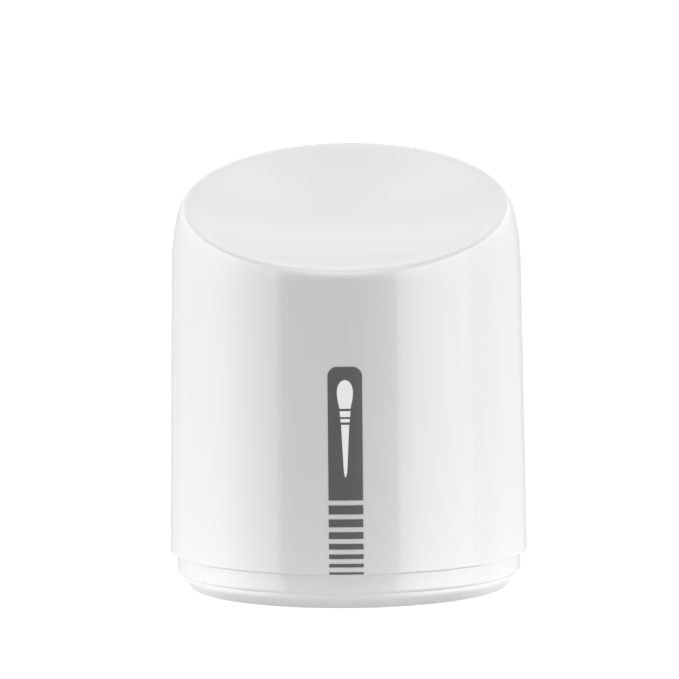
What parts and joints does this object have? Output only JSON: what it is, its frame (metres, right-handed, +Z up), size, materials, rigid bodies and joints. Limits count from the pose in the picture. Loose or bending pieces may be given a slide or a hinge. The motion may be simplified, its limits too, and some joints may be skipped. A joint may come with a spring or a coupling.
{
  "type": "brush cleaner",
  "caption": "Desktop make-up brush cleaner: tall cover with a slanted, dished top that lifts off a low motor base holding a wash bowl and a spinning ribbed scrub pad.",
  "frame": {"origin": "on the round body's axis, at the bottom of the rubber feet", "axes": "+Z up along the body's axis, -Y towards the front where the printed strip is, +X to the right seen from the front"},
  "size_m": [0.096, 0.0962, 0.1165],
  "materials": {
    "white_gloss": "gloss",
    "white_satin": "satin",
    "strip_grey": "printed",
    "button_grey": "satin",
    "guard_frost": "satin",
    "silicone_pale": "silicone",
    "silicone_red": "silicone",
    "rubber_dark": "matte",
    "gear_plastic": "natural",
    "steel": "machined",
    "brass": "machined",
    "board_green": "solder mask",
    "black_plastic": "moulded",
    "plunger_red": "moulded",
    "cell_blue": "shrink wrap",
    "lead_red": "insulation",
    "lead_black": "insulation",
    "lamp_clear": "clear"
  },
  "bodies": {
    "base": {"base_plate": "white_satin", "rubber_feet": "rubber_dark", "lower_housing": "white_gloss", "case_screws": "steel", "deck_gasket": "silicone_pale", "top_deck": "white_gloss", "gear_plate": "steel", "motor_can": "steel", "motor_screws": "steel", "gear_axle": "steel", "lower_bush": "brass", "upper_bush": "brass", "shaft_seal": "rubber_dark", "circuit_board": "board_green", "charge_socket": "steel", "charge_lamp": "lamp_clear", "switch_board": "board_green", "tact_switch": "black_plastic", "battery_cradle": "black_plastic", "battery_cell": "cell_blue", "positive_leads": "lead_red", "negative_leads": "lead_black", "wash_bowl": "white_gloss", "bowl_seal": "silicone_red", "splash_guard": "guard_frost"},
    "scrub_set": {"drive_gear": "gear_plastic", "drive_shaft": "steel", "shaft_clip": "steel", "turntable": "guard_frost", "scrub_pad": "silicone_pale", "pad_knob": "white_gloss"},
    "idler": {"compound_gear": "gear_plastic"},
    "rotor": {"motor_shaft": "steel", "motor_pinion": "brass"},
    "button": {"power_button": "button_grey", "switch_plunger": "plunger_red"},
    "cover": {"cover": "white_gloss", "front_strip": "strip_grey"}
  },
  "joints": [
    {"name": "cover_lift", "type": "slide", "parent": "base", "child": "cover", "axis": [0, 0, 1], "range_m": [0, 0.085]},
    {"name": "pad_spin", "type": "hinge", "parent": "base", "child": "scrub_set", "pos_m": [0, 0, 0.05], "axis": [0, 0, 1], "continuous": true},
    {"name": "idler_spin", "type": "hinge", "parent": "base", "child": "idler", "pos_m": [-0.01458, 0.00842, 0.03], "axis": [0, 0, 1], "continuous": true},
    {"name": "rotor_spin", "type": "hinge", "parent": "base", "child": "rotor", "pos_m": [-0.01993, -0.00628, 0.03], "axis": [0, 0, 1], "continuous": true},
    {"name": "button_press", "type": "slide", "parent": "base", "child": "button", "axis": [0, 1, 0], "range_m": [0, 0.0006], "stiffness_N_per_m": 2000}
  ],
  "couplings": [
    {"joint": "idler_spin", "follows": "pad_spin", "ratio": -3},
    {"joint": "rotor_spin", "follows": "pad_spin", "ratio": 10}
  ]
}
